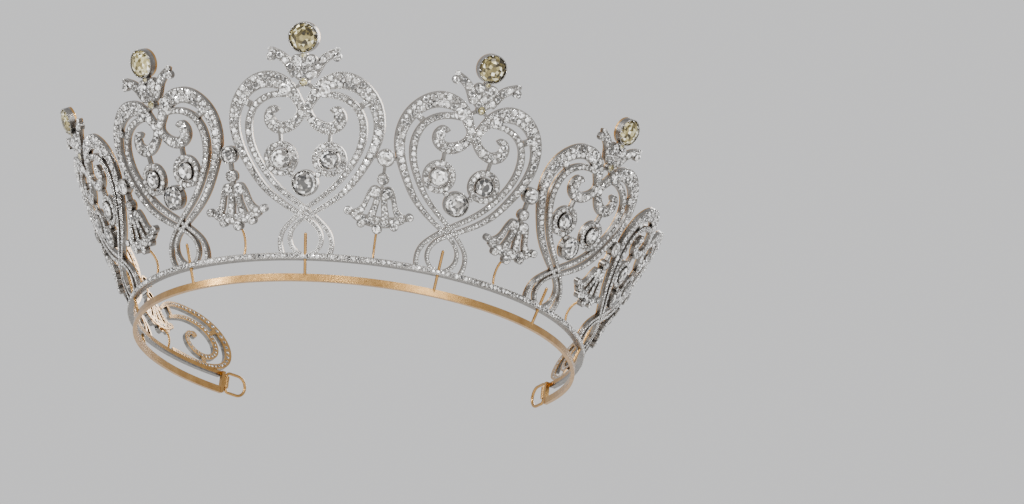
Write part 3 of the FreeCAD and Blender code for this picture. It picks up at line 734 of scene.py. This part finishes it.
def set_large(stones, metal, cut, across, up, size, azimuth, claws):
    """A stone in its collet, with the thread round the rim and the claws over it."""
    level = turned(azimuth, seat(across, up) @ Matrix.Translation((0, 0, GIRDLE_HEIGHT)))
    spin = Matrix.Rotation(dice.uniform(0, math.tau), 4, "Z")
    stones.stamp(cut, level @ spin, size * IN_COLLET)
    rim = size + COLLET_WALL / 2
    threads = round(math.tau * rim / THREAD_PITCH)
    for index in range(threads):
        around = Matrix.Rotation(math.tau * index / threads, 4, "Z")
        out = Matrix.Translation((rim, 0, THREAD_LEVEL * size))
        metal.stamp(grain, level @ around @ out, THREAD_BEAD)
    for index in range(claws):
        around = Matrix.Rotation(math.tau * (index + 0.5) / claws, 4, "Z")
        out = Matrix.Translation((size * CLAW_REACH, 0, CLAW_LEVEL * size))
        lean = Matrix.Rotation(CLAW_LEAN, 4, "Y")
        metal.stamp(claw, level @ around @ out @ lean, CLAW_LEAST + CLAW_GROWTH * size)


# %% [markdown]
# ## Stones inside the hearts
# Two haloed stones and a larger one below them. The thread also runs round the inner and
# outer edge of each halo.

# %% Clusters
HALO_STONE = 3.2
HALO_CLAWS = 8
LOWER_STONE = 4.35
LOWER_CLAWS = 10
HALO_EDGES = (4.22, 6.08)       # radii of a halo's inner and outer edge
HALO_PITCH = 0.6


def set_cluster(label):
    scale, azimuth = place_of(label)
    stones = white_tray("cut_cluster_" + label)
    metal = silver_tray("claws_cluster_" + label)
    set_large(stones, metal, cushion_cut, 0, LOWER_LEVEL * scale, LOWER_STONE * scale, azimuth,
              LOWER_CLAWS)
    for side in (-1, 1):
        u, v = HALO[0] * scale * side, HALO[1] * scale
        set_large(stones, metal, brilliant_cut, u, v, HALO_STONE * scale, azimuth, HALO_CLAWS)
        for edge in HALO_EDGES:
            threads = round(math.tau * edge / HALO_PITCH)
            for index in range(threads):
                angle = math.tau * index / threads
                place = seat(u + edge * scale * math.cos(angle),
                             v + edge * scale * math.sin(angle))
                metal.stamp(grain, turned(azimuth, place), THREAD_BEAD)
    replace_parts(stones.piece(), "cluster_stones_" + label)
    metal.piece()


for label in hearts:
    set_cluster(label)

# %% [markdown]
# ## Finials
# The finial is a small palm leaf: a fan with a curling leaf on each side and the pale
# champagne stone above it. The fan and leaves are paved, and each leaf ends in one stone.

# %% Finials
FLAME_STONES = [(61.9, 1.4, 4), (71.4, 0.9, 4), (77.6, 5.1, 12)]    # up, radius and claws
CUSHION_FROM = 2        # a stone larger than this has the cushion cut
FLAME_CLEAR = 0.3       # room kept round the stones in collets
# The painted highlights on the champagne stones are capped below white.
FLAME_BRIGHTEST = 0.95


def set_finial(label):
    scale, azimuth = place_of(label)
    paving = white_tray("pave_finial_" + label, open_back=True)
    stones = Tray("cut_finial_" + label, champagne_stone, "champagne_stones")
    metal = silver_tray("claws_finial_" + label)
    for up, size, claws in FLAME_STONES:
        cut = cushion_cut if size > CUSHION_FROM else brilliant_cut
        set_large(stones, metal, cut, 0, up * scale, size * scale, azimuth, claws)
        paving.taken.append((0, up * scale, (size + FLAME_CLEAR) * scale))
    for side in (-1, 1):
        for *stone, height in FLAME_SINGLES:
            set_drawn(paving, brilliant_cut, stone, scale, side, azimuth, height)
    for mirrored in (False, True):
        set_strand(paving, FLAME_LEAF, scale, azimuth, mirrored)
        edge_strand(metal, FLAME_LEAF, scale, azimuth, mirrored)
    set_strand(paving, FLAME_BODY, scale, azimuth)
    paving.piece(low=SHADED)
    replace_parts(stones.piece(high=FLAME_BRIGHTEST), "flame_stones_" + label)
    metal.piece()


for label in labels_of("flame_frame_"):
    set_finial(label)

# %% [markdown]
# ## Bell blossoms
# A bell hangs between each pair of hearts: two stones on top, arms that sweep out to a
# stone on each tip, petals between them, and three drops along the hem.

# %% Bells
scales = list(HEART_SCALE.values())
BELL_SCALES = [(a + b) / 2 for a, b in zip(scales, scales[1:] + scales[-1:])]
BELL_STONES = [(37.7, 2.85, 8), (29.9, 1.8, 6)]     # up, radius and claws
BELL_SINGLES = [(2.3, 25.1, 1.9, 0.12), (11.2, 17.2, 1.25, 0.42), (6, 13.2, 1.35, 0.42)]
BELL_DROP = (0, 11.8, 1.55)
DROP_HEIGHT = 0.42
bell_azimuth = {}

for side in ("right", "left"):
    stones = white_tray("cut_bells_" + side)
    for index, scale in enumerate(BELL_SCALES, start=1):
        label = f"{side}_{index}"
        azimuth = bell_azimuth[label] = azimuth_of("bell_" + label)
        paving = white_tray("pave_bell_" + label, open_back=True)
        metal = silver_tray("edge_bell_" + label)
        for up, size, claws in BELL_STONES:
            set_large(stones, metal, brilliant_cut, 0, up * scale, size * scale, azimuth, claws)
        for *stone, height in BELL_SINGLES:
            for hand in (-1, 1):
                set_drawn(paving, brilliant_cut, stone, scale, hand, azimuth, height)
        set_drawn(paving, brilliant_cut, BELL_DROP, scale, 1, azimuth, DROP_HEIGHT)
        for mirrored in (False, True):
            set_strand(paving, BELL_ARM, scale, azimuth, mirrored)
            set_strand(paving, BELL_PETAL, scale, azimuth, mirrored)
            edge_strand(metal, BELL_ARM, scale, azimuth, mirrored)
        set_strand(paving, BELL_SKIRT, scale, azimuth)
        paving.piece()
        metal.piece()
    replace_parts(stones.piece(), "bell_stones_" + side)

# %% [markdown]
# ## End scrolls and the rail
# The scrolls that close the rear ends are paved like the hearts. The rail carries a single
# row of stones between two beaded edges all the way round.

# %% End scrolls
SCROLL_GAP = 4.5        # from the last bell to the scroll
SCROLL_HALF = 18        # half the width of a scroll
SCROLL_LEVEL = 15
scroll_azimuth = bell_azimuth["right_4"] + span(SCROLL_GAP + SCROLL_HALF, SCROLL_LEVEL)
for side, sign in (("right", 1), ("left", -1)):
    paving = white_tray("pave_scroll_" + side, open_back=True)
    metal = silver_tray("edge_scroll_" + side)
    for strand in (SCROLL_OUTER, SCROLL_INNER):
        set_strand(paving, strand, 1, sign * scroll_azimuth, sign < 0)
        edge_strand(metal, strand, 1, sign * scroll_azimuth, sign < 0)
    paving.piece()
    metal.piece()

# %% The jewelled rail
SCROLL_RAIL = 10        # how far past a scroll's middle the rail runs
RAIL_STONE, RAIL_STONE_PITCH = 0.86, 1.82
RAIL_BEAD, RAIL_BEAD_PITCH = 0.2, 0.6
RAIL_EDGE = 0.98        # from the middle of the rail up or down to a row of beads
end_azimuth = scroll_azimuth + span(SCROLL_RAIL, 0)
face_out = Matrix.Rotation(math.pi / 2, 4, "X")


def run_along_rail(tray, template, size, pitch, heights):
    count = round(2 * math.radians(end_azimuth) * RAIL_OUTER / pitch)
    for index in range(count):
        azimuth = end_azimuth * (2 * (index + 0.5) / count - 1)
        for height in heights:
            place = Matrix.Translation((0, -RAIL_OUTER, RAIL_Z + height)) @ face_out
            tray.stamp(template, turned(azimuth, place), size)


rail_stones = white_tray("pave_rail")
rail_edges = silver_tray("edge_rail")
run_along_rail(rail_stones, pave_cut, RAIL_STONE, RAIL_STONE_PITCH, (0,))
run_along_rail(rail_edges, grain, RAIL_BEAD, RAIL_BEAD_PITCH, (-RAIL_EDGE, RAIL_EDGE))
rail_stones.piece()
rail_edges.piece()

# %% [markdown]
# ## Camera, floor and light
# The crown was seen from a little below its rail, so the camera looks up at it and the pale
# floor lies well under it. Three large soft panels light the metal evenly. A few small
# bright ones are there for the stones: a facet sparkles only when it has something small
# and bright to mirror.

# %% Camera
LENS = 119.54
SENSOR = 36
CAMERA_PLACE = (300.07, -1185.58, -402.45)      # millimetres from the middle of the rail
CAMERA_RIGHT = (0.981636, 0.168096, 0.090195)
CAMERA_FORWARD = (-0.188998, 0.921175, 0.340171)

camera_data = bpy.data.cameras.new("camera")
camera_data.lens = LENS
camera_data.sensor_width = SENSOR
camera_data.clip_end = 20
camera = bpy.data.objects.new("camera", camera_data)
right = Vector(CAMERA_RIGHT).normalized()
forward = Vector(CAMERA_FORWARD).normalized()
up = right.cross(forward).normalized()
across, back, height = CAMERA_PLACE
stand = Vector((across, back, height + RAIL_Z)) * MM
camera.matrix_world = Matrix((
    (right.x, up.x, -forward.x, stand.x), (right.y, up.y, -forward.y, stand.y),
    (right.z, up.z, -forward.z, stand.z), (0, 0, 0, 1),
))
bpy.context.scene.collection.objects.link(camera)
bpy.context.scene.camera = camera

# %% Floor
FLOOR = -0.47
FLOOR_RADIUS = 6.0
FLOOR_PALE, FLOOR_PALEST = (0.78, 0.77, 0.75), (0.84, 0.83, 0.81)

bm = bmesh.new()
bmesh.ops.create_circle(bm, cap_ends=True, segments=64, radius=FLOOR_RADIUS)
bmesh.ops.translate(bm, vec=(0, 0, FLOOR), verts=bm.verts)
floor_mesh = bpy.data.meshes.new("floor")
bm.to_mesh(floor_mesh)
bm.free()
floor = bpy.data.objects.new("floor", floor_mesh)
floor_finish = Finish("pale_floor")
clouds = floor_finish.blend(floor_finish.noise(3.0), FLOOR_PALE, FLOOR_PALEST)
floor_finish.feed(Base_Color=clouds, Roughness=0.7)
floor_mesh.materials.append(floor_finish.material)
bpy.context.scene.collection.objects.link(floor)

# %% Light
AIM = Vector((0, 0, 0.05))
SPARK_SIZE, SPARK_POWER = 0.06, 4
SPARKS = [(-0.5, -1.4, 0.9), (0.7, -1.2, 1.0), (0.1, -1.7, 0.3), (-1.3, -0.7, 0.4)]
ROOM = (0.86, 0.86, 0.87, 1)
ROOM_STRENGTH = 0.95


def panel(name, place, size, power):
    data = bpy.data.lights.new(name, "AREA")
    data.shape = "DISK"
    data.size = size
    data.energy = power
    light = bpy.data.objects.new(name, data)
    light.location = place
    light.rotation_euler = (AIM - Vector(place)).to_track_quat("-Z", "Y").to_euler()
    bpy.context.scene.collection.objects.link(light)


panel("key_panel", (-1.2, -1.6, 1.4), 0.9, 38)
panel("fill_panel", (1.6, -1.5, 0.3), 1.2, 18)
panel("back_panel", (0.4, 1.8, 1.2), 1.0, 22)
for index, place in enumerate(SPARKS):
    panel(f"spark_{index}", place, SPARK_SIZE, SPARK_POWER)

world = bpy.data.worlds.new("pale_room")
bpy.context.scene.world = world
world.use_nodes = True
background = world.node_tree.nodes["Background"]
background.inputs["Color"].default_value = ROOM
background.inputs["Strength"].default_value = ROOM_STRENGTH
